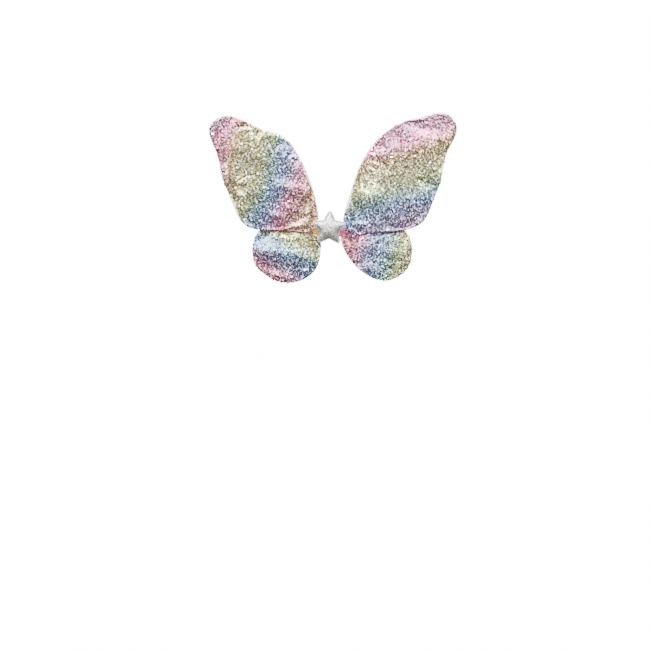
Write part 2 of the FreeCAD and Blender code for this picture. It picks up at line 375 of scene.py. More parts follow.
class Outline:
    """A node's outline seen along Y, as a reach from its middle for every direction."""

    def __init__(self, points, leave_out=None):
        """Keeps the farthest point in each of many equal slices of the turn about the middle."""
        flat = points[:, [0, 2]]
        self.middle = (flat.min(0) + flat.max(0)) / 2
        away = flat - self.middle
        angle = np.arctan2(away[:, 1], away[:, 0])
        reach = np.hypot(away[:, 0], away[:, 1])
        part = ((angle + np.pi) / (2 * np.pi) * OUTLINE_SLICES).astype(int) % OUTLINE_SLICES
        order = np.lexsort((reach, part))
        last = np.append(np.flatnonzero(np.diff(part[order])), len(order) - 1)
        kept = order[last]
        if leave_out is not None:
            kept = kept[~leave_out(flat[kept])]
        kept = kept[np.argsort(angle[kept])]
        turns = angle[kept]
        self.angles = np.concatenate([turns - 2 * np.pi, turns, turns + 2 * np.pi])
        self.reaches = np.tile(reach[kept], 3)

    def reach(self, angle):
        return np.interp(angle, self.angles, self.reaches)

    def edge(self, count):
        """Points along the outline, as x and z."""
        angle = full_turn(count) - np.pi
        return self.middle + self.reach(angle)[:, None] * circle(angle)

    def from_square(self, u, v):
        """A square from -1 to 1 pulled round to a disc, then out to the outline, as x and z."""
        x = u * np.sqrt(1 - v * v / 2)
        z = v * np.sqrt(1 - u * u / 2)
        angle = np.arctan2(z, x)
        return self.middle + (np.hypot(x, z) * self.reach(angle))[..., None] * circle(angle)

    def to_square(self, flat):
        """The inverse of from_square."""
        away = flat - self.middle
        angle = np.arctan2(away[..., 1], away[..., 0])
        share = np.clip(np.hypot(away[..., 0], away[..., 1]) / self.reach(angle), 0, 1)
        x, z = share * np.cos(angle), share * np.sin(angle)

        def half(a, b):
            base, step = 2 + a * a - b * b, 2 * math.sqrt(2) * a
            return (np.sqrt(np.maximum(base + step, 0)) - np.sqrt(np.maximum(base - step, 0))) / 2

        return half(x, z), half(z, x)

    def depth(self, flat):
        """How far each point is from the outline."""
        found = np.full(flat.shape[:-1], np.inf)
        for part in np.array_split(self.edge(720), 12):
            away = np.linalg.norm(flat[..., None, :] - part, axis=-1)
            found = np.minimum(found, away.min(-1))
        return found


def edge_samples(node, per_edge=7):
    """Points all along the edges of a node's mesh."""
    mesh = frame["nodes"][node].data
    ends = np.zeros(len(mesh.edges) * 2, np.int32)
    mesh.edges.foreach_get("vertices", ends)
    pairs = read_points(mesh)[ends.reshape(-1, 2)]
    share = np.linspace(0, 1, per_edge)[:, None, None]
    return (pairs[:, 0] * (1 - share) + pairs[:, 1] * share).reshape(-1, 3)


def pillow(front, back):
    """One closed skin from a front and a back grid that share their rim: its points and its faces."""
    n = front.shape[0]
    front_index = np.arange(n * n).reshape(n, n)
    back_index = front_index.copy()
    back_index[1:-1, 1:-1] = n * n + np.arange((n - 2) ** 2).reshape(n - 2, n - 2)
    points = np.concatenate([front.reshape(-1, 3), back[1:-1, 1:-1].reshape(-1, 3)])
    grid = strip_faces(n, n)
    faces = np.concatenate([front_index.ravel()[grid], back_index.ravel()[grid[:, ::-1]]])
    return points, faces, front_index, back_index


def puff(points, faces, pinned, pressure, spare, cap):
    """Cloth simulation: the closed skin is blown up with spare cloth in it, its rim held, and no point
    moves farther than the cap."""
    blank, _ = new_material("unused")
    soft = new_piece("soft_skin", points, faces, blank)
    held = soft.vertex_groups.new(name="held")
    held.add([int(i) for i in pinned], 1.0, "REPLACE")
    cloth = soft.modifiers.new("cloth", "CLOTH")
    settings = cloth.settings
    settings.quality = 5
    settings.mass = 0.2
    settings.tension_stiffness = 8
    settings.compression_stiffness = 8
    settings.shear_stiffness = 4
    settings.bending_stiffness = 0.05
    settings.use_pressure = True
    settings.uniform_pressure_force = pressure
    settings.vertex_group_mass = "held"
    settings.shrink_min = -spare
    settings.effector_weights.gravity = 0
    cloth.collision_settings.use_collision = False
    scene = bpy.context.scene
    for step in range(1, CLOTH_STEPS + 1):
        scene.frame_set(step)
    shown = soft.evaluated_get(bpy.context.evaluated_depsgraph_get())
    change = read_points(shown.data) - points
    scene.frame_set(1)
    bpy.data.objects.remove(soft)
    bpy.data.materials.remove(blank)
    length = np.linalg.norm(change, axis=-1, keepdims=True)
    return points + change * np.minimum(1, cap / np.maximum(length, 1e-9))


def crease(flat, start, end, width, depth):
    """A soft ridge or valley from start to end: a bell across, fading at both ends."""
    start, end = np.array(start) * MM, np.array(end) * MM
    run = end - start
    length = np.linalg.norm(run)
    along = (flat - start) @ run / length**2
    across = ((flat - start) @ np.array([-run[1], run[0]])) / length
    fade = np.clip(1 - (2 * along - 1) ** 2, 0, 1) ** 0.7
    return depth * MM * bell(across, width * MM) * fade


def grid_normals(grid):
    """The unit normals of a grid of points, which face the front."""
    down, across = np.gradient(grid, axis=0), np.gradient(grid, axis=1)
    normal = unit(np.cross(across, down))
    return normal * np.where(normal[..., 1:2] > 0, -1, 1)


def sample_grid(grid, u, v):
    """The grid's value at places u and v from -1 to 1, between its four nearest points."""
    n = grid.shape[0]
    a = np.clip((v + 1) / 2 * (n - 1), 0, n - 1.001)
    b = np.clip((u + 1) / 2 * (n - 1), 0, n - 1.001)
    i, j = a.astype(int), b.astype(int)
    s, t = (a - i)[..., None], (b - j)[..., None]
    top = grid[i, j] * (1 - t) + grid[i, j + 1] * t
    low = grid[i + 1, j] * (1 - t) + grid[i + 1, j + 1] * t
    return top * (1 - s) + low * s


def shell(outer, thickness, inward):
    """A closed sheet of that thickness: the outer grid, the same grid moved inward, and their rims."""
    n = outer.shape[0]
    inner = outer + inward * thickness
    grid = strip_faces(n, n)
    rim = rim_order(n)
    step = np.roll(rim, -1)
    wall = np.stack([rim, step, step + n * n, rim + n * n], axis=-1)
    faces = np.concatenate([grid, grid[:, ::-1] + n * n, wall[:, ::-1]])
    return np.concatenate([outer.reshape(-1, 3), inner.reshape(-1, 3)]), faces


def rim_order(n):
    """The indices of a square grid's rim, in order round it."""
    index = np.arange(n * n).reshape(n, n)
    return np.concatenate([index[0, :-1], index[:-1, -1], index[-1, :0:-1], index[:0:-1, 0]])


def outward(piece):
    """Turns every face of a closed piece outwards, by the sign of the volume that it holds."""
    mesh = piece.data
    mesh.calc_loop_triangles()
    corners = np.zeros(len(mesh.loop_triangles) * 3, np.int32)
    mesh.loop_triangles.foreach_get("vertices", corners)
    a, b, c = read_points(mesh)[corners.reshape(-1, 3)].transpose(1, 0, 2)
    if np.einsum("ij,ij->", a, np.cross(b, c)) < 0:
        mesh.flip_normals()
    return piece


# The print runs through one rainbow again and again. 0 is pink, and 1 is the next pink.
RAINBOW = (
    # place, the discs' colour, the colour of the cloth under them
    (0.00, (0.74, 0.15, 0.31), (0.86, 0.16, 0.36)),
    (0.10, (0.72, 0.28, 0.24), (0.86, 0.24, 0.20)),
    (0.20, (0.70, 0.44, 0.16), (0.86, 0.48, 0.14)),
    (0.30, (0.62, 0.54, 0.22), (0.82, 0.66, 0.16)),
    (0.40, (0.48, 0.52, 0.19), (0.56, 0.70, 0.16)),
    (0.50, (0.30, 0.44, 0.28), (0.26, 0.62, 0.34)),
    (0.58, (0.20, 0.35, 0.40), (0.14, 0.50, 0.62)),
    (0.68, (0.14, 0.25, 0.50), (0.12, 0.28, 0.76)),
    (0.84, (0.38, 0.25, 0.46), (0.44, 0.22, 0.74)),
    (1.00, (0.74, 0.15, 0.31), (0.86, 0.16, 0.36)),
)
SEQUIN_STOPS = [(place, disc) for place, disc, _ in RAINBOW]
GROUND_STOPS = [(place, cloth) for place, _, cloth in RAINBOW]

# Where the print's stripes fall: a direction across them, and places along it with their colour.
PRINTS = {
    "upper_left": (
        (1.0, 0.0),
        ((-198, 0.70), (-184, 0.86), (-170, 1.0), (-153, 1.04), (-143, 1.18), (-128, 1.3),
         (-105, 1.37), (-92, 1.45), (-82, 1.58), (-70, 1.67), (-58, 1.76), (-50, 1.88),
         (-40, 1.98), (-26, 2.05), (-12, 2.16)),
    ),  # fmt: skip
    "upper_right": (
        (-0.27, 1.0),
        ((-40, 0.92), (-20, 0.84), (-8, 0.76), (4, 0.68), (14, 0.6), (24, 0.5), (34, 0.42),
         (48, 0.35), (66, 0.26), (77, 0.16), (84, 0.07), (95, -0.05), (140, -0.09)),
    ),  # fmt: skip
    "lower_left": (
        (-0.45, -0.80),
        ((-10, 0.24), (20, 0.3), (36, 0.38), (44, 0.5), (50, 0.6), (60, 0.67), (68, 0.74),
         (76, 0.86), (84, 0.97), (100, 1.05)),
    ),  # fmt: skip
    "lower_right": (
        (-1.0, 0.15),
        ((-118, 0.30), (-104, 0.36), (-95, 0.48), (-84, 0.60), (-70, 0.68), (-58, 0.78),
         (-48, 0.93), (-38, 1.0), (-16, 1.06)),
    ),  # fmt: skip
}
# On the upper left wing the cloth was laid with its stripes bowed: how far they move over, by height.
BOWED_STRIPES = ((-10, -44), (25, -28), (48, -13), (76, 0), (110, 5), (130, 14), (155, 30))
PRINT_SWAY = 2.2 * MM


def print_place(wing, flat):
    """How far through the rainbow the print is at points in the wing's plane."""
    direction, stops = PRINTS[wing]
    along = flat[..., 0] * direction[0] + flat[..., 1] * direction[1]
    if wing == "upper_left":
        heights, moves = zip(*BOWED_STRIPES, strict=True)
        along = along - MM * np.interp(flat[..., 1] / MM, heights, moves)
    sway = PRINT_SWAY * np.sin(flat[..., 1] * 48 + flat[..., 0] * 31)
    places, colours = zip(*stops, strict=True)
    return np.interp((along + sway) / MM, places, colours)


# Folds and swells that a flat cut of stiff sequin cloth takes: start, end, width and height in mm.
CREASES = {
    "upper_left": (
        ((-80, 63), (-16, 45), 7.5, 3.3),
        ((-90, 22), (-62, 17), 4.0, 1.5),
        ((-56, 2), (-18, 0), 6.0, 2.0),
        ((-64, 30), (-30, 22), 4.0, 1.0),
        ((-150, 118), (-80, 96), 12.0, 0.9),
        ((-150, 62), (-90, 50), 12.0, 0.9),
    ),
    "upper_right": (
        ((28, 48), (78, 42), 12.0, 2.7),
        ((26, 8), (82, 7), 2.8, 0.9),
        ((28, -1), (86, -2), 2.4, 0.7),
        ((80, 26), (150, 48), 12.0, 0.9),
        ((70, 96), (170, 124), 12.0, 0.9),
    ),
    "lower_left": (
        ((-118, -27), (-4, -45), 10.0, 4.3),
        ((-52, -58), (-14, -60), 4.5, 1.7),
        ((-100, -63), (-34, -73), 6.0, 2.8),
    ),
    "lower_right": (
        ((14, -28), (64, -24), 7.0, 1.3),
        ((36, -56), (98, -66), 8.0, 1.3),
        ((60, -26), (112, -40), 8.0, 0.8),
    ),
}


def lay_out(outline, count, radius):
    """A square grid of places pulled to the outline, with the depth and the rounded lift of each."""
    line = np.linspace(-1, 1, count)
    v, u = np.meshgrid(line, line, indexing="ij")
    flat = outline.from_square(u, v)
    depth = outline.depth(flat)
    lift = rounded(depth, radius)
    lift[[0, -1], :] = 0
    lift[:, [0, -1]] = 0
    return flat, depth, lift


def make_wing_grids(wing, tier, side):
    """The front and back surfaces of one wing, flat in its own plane, as grids of points."""
    node = f"{wing}_sequin_cloth"
    sign = -1 if side == "left" else 1
    joint = FOLD_JOINTS[f"{side}_wing"]
    about, sweep = joint["pos_m"], sign * -joint["range_deg"][0]
    flat_rim = spin(edge_samples(node), about, sweep)

    def at_root(flat):
        return (np.abs(flat) < ROOT_BOX).all(-1)

    outline = Outline(flat_rim, at_root)
    seam_y = flat_rim[:, 1].max()
    flat, depth, lift = lay_out(outline, GRID[tier], EDGE_ROUND)
    front = upright(flat, seam_y - FIRST_SWELL * FRONT_SWELL[tier] * lift)
    back = upright(flat, seam_y + FIRST_SWELL * BACK_SWELL * lift)
    points, faces, front_index, back_index = pillow(front, back)
    rim = rim_order(GRID[tier])
    points = puff(points, faces, rim, PRESSURE, SPARE_CLOTH, FARTHEST_PUFF)
    front, back = points[front_index], points[back_index]
    inner = np.clip(depth / (2.5 * EDGE_ROUND), 0, 1)
    for start, end, width, height in CREASES[wing]:
        front[..., 1] -= crease(flat, start, end, width, height) * inner
    squeezed = np.clip(LEAST_GAP * lift - (back[..., 1] - front[..., 1]), 0, None) / 2
    front[..., 1] -= squeezed
    back[..., 1] += squeezed
    return outline, flat, front, back, depth, about, -sweep


satin, satin_tree = new_material(
    "pink_satin", Roughness=0.38, Sheen_Weight=0.12, Sheen_Roughness=0.35, Specular_IOR_Level=0.5
)
satin_place = satin_tree.place()
satin_x, satin_z = satin_tree.axis(satin_place, "X"), satin_tree.axis(satin_place, "Z")
satin_cloud = satin_tree.noise(38.0, 3.0)
satin_colour = satin_tree.mix(satin_cloud, (0.88, 0.31, 0.53, 1), (0.82, 0.36, 0.68, 1))
satin_weave = ((satin_x * 9000.0).sine() * (satin_z * 9000.0).sine() + satin_cloud * 2.0) * 0.3
satin_tree.connect(
    Base_Color=satin_colour,
    Normal=satin_tree.bump(satin_weave, 0.35, 0.00012),
    Roughness=0.32 + 0.16 * satin_cloud,
)

ground, ground_tree = new_material(
    "printed_ground_cloth", Roughness=0.6, Sheen_Weight=0.2, Sheen_Roughness=0.5
)
ground_band = ground_tree.attribute("band") % 1.0
ground_colour = ground_tree.node("ShaderNodeValToRGB", {"stops": GROUND_STOPS}, [ground_band])
ground_mesh = ground_tree.cells(1900.0)
ground_covered = ground_tree.attribute("covered")
# Where sequins cover it, the cloth is mixed toward white: a painted highlight for the light that glints off
# the sequin rims between the discs.
ground_painted_glint = ground_tree.mix(ground_covered * 0.80, ground_colour, (1.0, 1.0, 1.0, 1))
ground_tree.connect(
    Base_Color=ground_tree.mix(ground_mesh * 0.35, ground_painted_glint, ground_colour, "MULTIPLY"),
    Normal=ground_tree.bump(ground_mesh, 0.5, 0.00015),
)

# The foam stops short of the seam, and its faces lie this far in from the wing's outer surfaces.
FOAM_SHARE = 0.92
FOAM_CLEAR = 0.75 * MM
FOAM_LEAST_HALF = 0.1 * MM
foam_material, foam_tree = new_material("white_foam", Roughness=0.9)
foam_cells = foam_tree.cells(1400.0)
foam_tree.connect(
    Base_Color=foam_tree.mix(foam_cells, (0.82, 0.82, 0.78, 1), (0.95, 0.95, 0.92, 1)),
    Normal=foam_tree.bump(foam_cells, 0.8, 0.0004),
)

sequin, sequin_tree = new_material("rainbow_sequins", Metallic=0.92, Coat_Roughness=0.05)
sequin_band = sequin_tree.attribute("band") % 1.0
sequin_twinkle = sequin_tree.attribute("twinkle")
sequin_colour = sequin_tree.node("ShaderNodeValToRGB", {"stops": SEQUIN_STOPS}, [sequin_band])
# The disc colours are mixed a little toward grey.
sequin_greyed = sequin_tree.mix(0.08, sequin_colour, (0.30, 0.30, 0.31, 1))
# Each disc is darkened by a random amount, down to about a third: painted shade for discs tilted away from
# the light.
sequin_painted_shade = sequin_tree.mix(sequin_twinkle, (0.34, 0.34, 0.34, 1), (1.0, 1.0, 1.0, 1))
sequin_tone = sequin_tree.mix(1.0, sequin_greyed, sequin_painted_shade, "MULTIPLY")
sequin_tree.connect(
    Base_Color=sequin_tone,
    Roughness=0.13 + 0.10 * sequin_twinkle,
)

thread, thread_tree = new_material("pink_thread", Roughness=0.55, Sheen_Weight=0.3)
thread_noise = thread_tree.noise(2400.0, 2.0)
thread_tree.connect(
    Base_Color=thread_tree.mix(thread_noise, (0.86, 0.50, 0.68, 1), (0.96, 0.74, 0.84, 1)),
    Normal=thread_tree.bump(thread_noise, 0.6, 0.0001),
)

SEQUIN_R = 1.5 * MM
SEQUIN_HOLE_R = 0.22 * MM
SEQUIN_T = 0.12 * MM
SEQUIN_CUP = 0.06 * MM
SEQUIN_PITCH = 2.8 * MM
SEQUIN_ROW = 2.42 * MM
SEQUIN_SCATTER = 0.4 * MM
SEQUIN_STANDS = 0.22 * MM
SEQUIN_SIDES = 8
ROW_WAVER = 0.8 * MM
# Some threads are loose: the share of discs that lean far, how far they lean, and how far the rest do.
LOOSE_SHARE = 0.14
LOOSE_LEAN = 0.26
LEAN = 0.06
# Discs near the edge turn back towards lying flat.
EDGE_TURN = 1.3
EDGE_TURN_W = 3.0 * MM
ROW_TILT = {"upper_left": 68.0, "upper_right": 24.0, "lower_left": 12.0, "lower_right": 80.0}
# How far in from the seam the sequins stop, on most of the edge, and where the plain margin shows.
MARGIN = 0.1 * MM
WIDE_MARGIN = 1.8 * MM
PLAIN_EDGES = {
    # the directions, in degrees from the wing's middle, between which the margin is wide
    "upper_left": ((-62, 62), (-150, -118)),
    "upper_right": ((68, 215),),
    "lower_left": ((-78, 8),),
    "lower_right": ((150, 262),),
}


def plain_share(wing, outline, flat):
    """1 where the edge nearest to a place shows a plain margin, 0 where the sequins run over it."""
    away = flat - outline.middle
    degrees = np.degrees(np.arctan2(away[:, 1], away[:, 0]))
    plain = np.zeros(len(flat))
    for low, high in PLAIN_EDGES[wing]:
        plain[((degrees - low) % 360) < (high - low)] = 1
    return plain


def make_sequins(wing, outline, front, about, degrees):
    """Cupped discs with a hole, sewn in uneven offset rows: each is a four-cornered profile carried
    round a centre in eight steps."""
    rng = np.random.default_rng(sum(ord(letter) for letter in wing))
    reach = outline.reaches.max()
    rows = np.arange(-reach, reach, SEQUIN_ROW)
    places = np.arange(-reach, reach, SEQUIN_PITCH)
    b, a = np.meshgrid(rows, places, indexing="ij")
    a = a + (np.arange(len(rows)) % 2)[:, None] * SEQUIN_PITCH / 2
    a = a + rng.normal(0, SEQUIN_SCATTER, a.shape) + rng.normal(0, SEQUIN_SCATTER, len(rows))[:, None]
    b = b + rng.normal(0, SEQUIN_SCATTER, a.shape) + ROW_WAVER * np.sin(a * 70 + b * 25)
    turn = math.radians(ROW_TILT[wing])
    flat = outline.middle + np.stack(
        [a * math.cos(turn) - b * math.sin(turn), a * math.sin(turn) + b * math.cos(turn)], axis=-1
    ).reshape(-1, 2)
    away = flat - outline.middle
    angle = np.arctan2(away[:, 1], away[:, 0])
    flat = flat[np.hypot(away[:, 0], away[:, 1]) < outline.reach(angle)]
    depth = outline.depth(flat)
    margin = MARGIN + (WIDE_MARGIN - MARGIN) * plain_share(wing, outline, flat)
    kept = depth > margin + rng.normal(0, 0.15 * MM, len(flat))
    flat, depth = flat[kept], depth[kept]

    u, v = outline.to_square(flat)
    middle = sample_grid(front, u, v)
    up = sample_grid(grid_normals(front), u, v)
    count = len(flat)
    loose = np.where(rng.random(count) < LOOSE_SHARE, LOOSE_LEAN, LEAN)[:, None]
    flattened = EDGE_TURN * bell(depth, EDGE_TURN_W)[:, None] * np.array([0.0, -1.0, 0.0])
    up = unit(up + flattened + loose * rng.normal(0, 1, (count, 3)))
    right = unit(np.cross(up, [0.0, 0.0, 1.0]))
    ahead = np.cross(right, up)
    first = rng.random(count)[:, None] * 2 * np.pi
    turn = first + full_turn(SEQUIN_SIDES)[None, :]
    profile = np.array(
        [
            (SEQUIN_HOLE_R, SEQUIN_T),
            (SEQUIN_R, SEQUIN_CUP + SEQUIN_T),
            (SEQUIN_R, SEQUIN_CUP),
            (SEQUIN_HOLE_R, 0.0),
        ]
    )
    size = (1 + rng.normal(0, 0.03, count))[:, None, None, None]
    around = np.cos(turn)[..., None] * right[:, None] + np.sin(turn)[..., None] * ahead[:, None]
    discs = (
        (middle + up * SEQUIN_STANDS)[:, None, None]
        + size * profile[None, :, 0, None, None] * around[:, None]
        + profile[None, :, 1, None, None] * up[:, None, None]
    )
    each = len(profile) * SEQUIN_SIDES
    one = strip_faces(len(profile), SEQUIN_SIDES, close_rows=True, close_columns=True)
    faces = (one[None] + each * np.arange(count)[:, None, None]).reshape(-1, 4)
    piece = new_piece(f"{wing}_sequins", spin(discs, about, degrees), faces, sequin, smooth=False)
    set_attribute(piece, "band", np.repeat(print_place(wing, flat) + rng.normal(0, 0.012, count), each))
    # A random number for each disc: it sets how much painted shade darkens the disc, and how rough it is.
    set_attribute(piece, "twinkle", np.repeat(rng.random(count), each))
    return outward(piece)


def make_stitches(name, points, out, length, radius, gap):
    """A row of short threads along a line: each is a spindle that lies on the cloth."""
    step = np.linalg.norm(np.diff(points, axis=0), axis=-1)
    travelled = np.concatenate([[0], np.cumsum(step)])
    starts = np.arange(gap / 2, travelled[-1] - length, length + gap)

    def at(values, distance):
        return np.stack([np.interp(distance, travelled, values[:, k]) for k in range(3)], axis=-1)

    first = at(points, starts)
    run = at(points, starts + length) - first
    up = unit(at(out, starts + length / 2))
    across = unit(np.cross(run, up))
    share = np.array([-0.04, 0.1, 0.3, 0.7, 0.9, 1.04])
    round_ = radius * np.array([0.2, 0.75, 1.0, 1.0, 0.75, 0.2])
    sink = radius * np.array([-1.0, -0.1, 0.35, 0.35, -0.1, -1.0])
    cos, sin = circle(full_turn(6)).T[:, None, None, :, None]
    ring = cos * across[:, None, None, :] + sin * up[:, None, None, :]
    line = first[:, None] + run[:, None] * share[None, :, None] + up[:, None] * sink[None, :, None]
    tubes = line[:, :, None] + ring * round_[None, :, None, None]
    ends = line[:, [0, -1]]
    side = strip_faces(6, 6, close_columns=True)
    caps = []
    for centre, row, flip in ((36, 0, True), (37, 30, False)):
        this = row + np.arange(6)
        following = row + (np.arange(6) + 1) % 6
        fan = np.stack([this, following, np.full(6, centre)], axis=-1)
        caps.append(fan[:, ::-1] if flip else fan)
    points = np.concatenate([tubes.reshape(len(starts), -1, 3), ends], axis=1)
    triangles = np.concatenate([side[:, [0, 1, 2]], side[:, [0, 2, 3]], *caps])
    faces = (triangles[None] + 38 * np.arange(len(starts))[:, None, None]).reshape(-1, 3)
    return outward(new_piece(name, points, faces, thread))


def make_roll(name, path, up, radius, material):
    """A closed rolled edge: a circle carried round a closed path, with a radius for each point of it."""
    ahead = np.roll(path, -1, axis=0) - np.roll(path, 1, axis=0)
    side = unit(np.cross(unit(ahead), up))
    cos, sin = circle(full_turn(10)).T[:, None, :, None]
    ring = cos * side[:, None] + sin * up
    distance = full_turn(len(path))
    uneven = 1 + 0.07 * np.sin(distance * 61) + 0.05 * np.sin(distance * 97 + 1)
    points = path[:, None] + ring * (radius * uneven)[:, None, None]
    faces = strip_faces(len(path), 10, close_rows=True, close_columns=True)
    return outward(new_piece(name, points, faces, material))


def stitch_row(outline, inset, count):
    """A line all round, that far in from the outline."""
    angle = np.linspace(-np.pi, np.pi, count)
    return outline.middle + (outline.reach(angle) - inset)[:, None] * circle(angle)


# The rolled seam's radius where sequins run over it, and where its plain edge shows.
ROLL_R = 0.35 * MM
PLAIN_ROLL_R = 0.80 * MM
SEAM_STITCH_IN = 3.6 * MM
# The length, the radius and the gap of the stitches.
SEAM_STITCH = (2.2 * MM, 0.22 * MM, 0.9 * MM)

for side in ("left", "right"):
    sign = -1 if side == "left" else 1
    for tier in ("upper", "lower"):
        wing = f"{tier}_{side}"
        outline, flat, front, back, depth, about, rest_turn = make_wing_grids(wing, tier, side)
        n = GRID[tier]
        points, faces = shell(front, CLOTH_T, np.array([0.0, 1.0, 0.0]))
        front_cloth = outward(new_piece(f"{wing}_front_cloth", spin(points, about, rest_turn), faces, ground))
        band = print_place(wing, flat).ravel()
        set_attribute(front_cloth, "band", np.concatenate([band, band]))
        # How far the sequins cover the cloth: where they do, its material paints it near white as a painted
        # highlight.
        covered = np.clip((depth - MARGIN) / (2 * MM), 0, 1).ravel()
        set_attribute(front_cloth, "covered", np.concatenate([covered, covered]))
        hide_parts(f"{wing}_sequin_cloth")

        points, faces = shell(back, CLOTH_T, np.array([0.0, -1.0, 0.0]))
        back_cloth = outward(new_piece(f"{wing}_back_cloth", spin(points, about, rest_turn), faces, satin))
        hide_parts(f"{wing}_lining")

        inset = np.linspace(-FOAM_SHARE, FOAM_SHARE, n)
        v, u = np.meshgrid(inset, inset, indexing="ij")
        beside_front, beside_back = sample_grid(front, u, v), sample_grid(back, u, v)
        foam_middle = (beside_front + beside_back) / 2
        room = (beside_back - beside_front)[..., 1:2] / 2 - FOAM_CLEAR
        foam_half = np.clip(room, FOAM_LEAST_HALF, None) * np.array([0.0, 1.0, 0.0])
        points, faces, _, _ = pillow(foam_middle - foam_half, foam_middle + foam_half)
        foam = outward(new_piece(f"{wing}_foam_sheet", spin(points, about, rest_turn), faces, foam_material))
        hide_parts(f"{wing}_foam")

        sequins = make_sequins(wing, outline, front, about, rest_turn)

        seam_path = front.reshape(-1, 3)[rim_order(n)]
        plain = plain_share(wing, outline, seam_path[:, [0, 2]])
        for _ in range(6):
            plain = (np.roll(plain, 1) + plain + np.roll(plain, -1)) / 3
        roll = make_roll(
            f"{wing}_seam_roll",
            spin(seam_path, about, rest_turn),
            np.array([0.0, 1.0, 0.0]),
            ROLL_R + (PLAIN_ROLL_R - ROLL_R) * plain,
            satin,
        )

        u, v = outline.to_square(stitch_row(outline, SEAM_STITCH_IN, 900))
        behind = sample_grid(back, u, v)
        out = -sample_grid(grid_normals(back), u, v)
        stitches = make_stitches(
            f"{wing}_seam_stitches",
            spin(behind, about, rest_turn),
            spin(out, (0, 0, 0), rest_turn),
            *SEAM_STITCH,
        )
        for piece in (front_cloth, back_cloth, foam, sequins, roll, stitches):
            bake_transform(piece)


# ---- wing tacks ----
# A few turns of the same pink thread hold each lower wing to the back of the upper one.
for side in ("left", "right"):
    for place in frame["nodes"][f"{side}_wing_tacks"].material_slots:
        place.material = thread


# ---- stuffed body and root tabs ----
# The wings are gathered onto a small stuffed body behind the star. It is a firm bag of pink satin, and
# each wing's unpadded end is pleated and sewn into its side.
def merge_poles(piece):
    """Joins the points that meet at a closed end."""
    work = bmesh.new()
    work.from_mesh(piece.data)
    bmesh.ops.remove_doubles(work, verts=work.verts, dist=1e-6)
    work.to_mesh(piece.data)
    work.free()
    return piece


def signed_power(value, power):
    return np.sign(value) * np.abs(value) ** power


BODY_BOXINESS = 0.42
BODY_GRID = (49, 72)
PLEATS = 15
PLEAT_SHARE = 0.035
low, high = (np.array(corner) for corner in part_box("body_cover"))
middle, half = (low + high) / 2, (high - low) / 2
lean = np.linspace(-np.pi / 2, np.pi / 2, BODY_GRID[0])[:, None]
turn = full_turn(BODY_GRID[1])[None, :]
ring = np.abs(np.cos(lean)) ** BODY_BOXINESS
ring[[0, -1]] = 0
pleat = 1 - PLEAT_SHARE * np.sin(turn * PLEATS) * np.abs(np.sin(lean)) ** 3
body_points = np.stack(
    [
        middle[0] + half[0] * signed_power(np.sin(lean), BODY_BOXINESS) + 0 * turn,
        middle[1] + half[1] * ring * pleat * signed_power(np.cos(turn), BODY_BOXINESS),
        middle[2] + half[2] * ring * pleat * signed_power(np.sin(turn), BODY_BOXINESS),
    ],
    axis=-1,
)
body = new_piece("body_pillow", body_points, strip_faces(*BODY_GRID, close_columns=True), satin)
outward(merge_poles(body))
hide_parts("body_cover", "body_filling")
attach(body, "centre")

TAB_INNER = 12.0 * MM
TAB_OUTER = 24.0 * MM
TAB_GRID = (26, 56)
TAB_BOXINESS = 0.8
# Half the height and half the thickness of a tab, each at its inner and its outer end.
TAB_TALL = (3.9 * MM, 5.6 * MM)
TAB_THICK = (1.25 * MM, 1.60 * MM)
TAB_FOLD = 0.32 * MM
for side in ("left", "right"):
    sign = -1 if side == "left" else 1
    for tier in ("upper", "lower"):
        wing = f"{tier}_{side}"
        low, high = (np.array(corner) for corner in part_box(f"{wing}_root_tab"))
        middle = (low + high) / 2
        along = np.linspace(0, 1, TAB_GRID[0])[:, None]
        turn = full_turn(TAB_GRID[1])[None, :]
        closed = np.clip(np.minimum(along, 1 - along) * 9, 0, 1) ** 0.5
        tall = np.interp(along, (0, 1), TAB_TALL) * closed
        thick = np.interp(along, (0, 1), TAB_THICK) * closed
        height = tall * signed_power(np.sin(turn), TAB_BOXINESS)
        fold = TAB_FOLD * np.sin(height / MM * 2.4 + 0.8) * closed * (1 - along * 0.6)
        tab_points = np.stack(
            [
                sign * (TAB_INNER + (TAB_OUTER - TAB_INNER) * along) + 0 * turn,
                middle[1] + thick * signed_power(np.cos(turn), TAB_BOXINESS) + fold,
                middle[2] + height,
            ],
            axis=-1,
        )
        tab = new_piece(f"{wing}_root", tab_points, strip_faces(*TAB_GRID, close_columns=True), ground)
        set_attribute(tab, "band", print_place(wing, tab_points[..., [0, 2]]))
        outward(merge_poles(tab))
        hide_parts(f"{wing}_root_tab")
        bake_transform(tab)


# ---- back patch ----
# A doubled strip of pink satin sewn over the back of the body. It is stitched round its edge, and holds
# the four ends of the arm loops, each under a stitched box and cross.
PATCH_GRID = 73
PATCH_ROUND = 1.0 * MM
PATCH_STITCH_IN = 2.4 * MM
# The stitching puckers the edge into small waves and sinks its own line into the back.
WAVE_HIGH = 0.10 * MM
WAVE_W = 1.6 * MM
STITCH_SINK = 0.12 * MM
STITCH_SINK_W = 0.5 * MM
outline = Outline(edge_samples("back_patch", per_edge=300))
low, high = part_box("back_patch")
flat, depth, lift = lay_out(outline, PATCH_GRID, PATCH_ROUND)
middle, half = (low[1] + high[1]) / 2, (high[1] - low[1]) / 2
from_stitches = depth - PATCH_STITCH_IN
waves = np.abs(WAVE_HIGH * np.sin(flat[..., 0] * 1900) * bell(from_stitches, WAVE_W))
front = upright(flat, middle - half * lift - waves)
back = upright(flat, middle + half * lift - waves - STITCH_SINK * bell(from_stitches, STITCH_SINK_W))
points, faces, _, _ = pillow(front, back)
patch = outward(new_piece("back_patch_satin", points, faces, satin))
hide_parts("back_patch")
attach(patch, "centre")

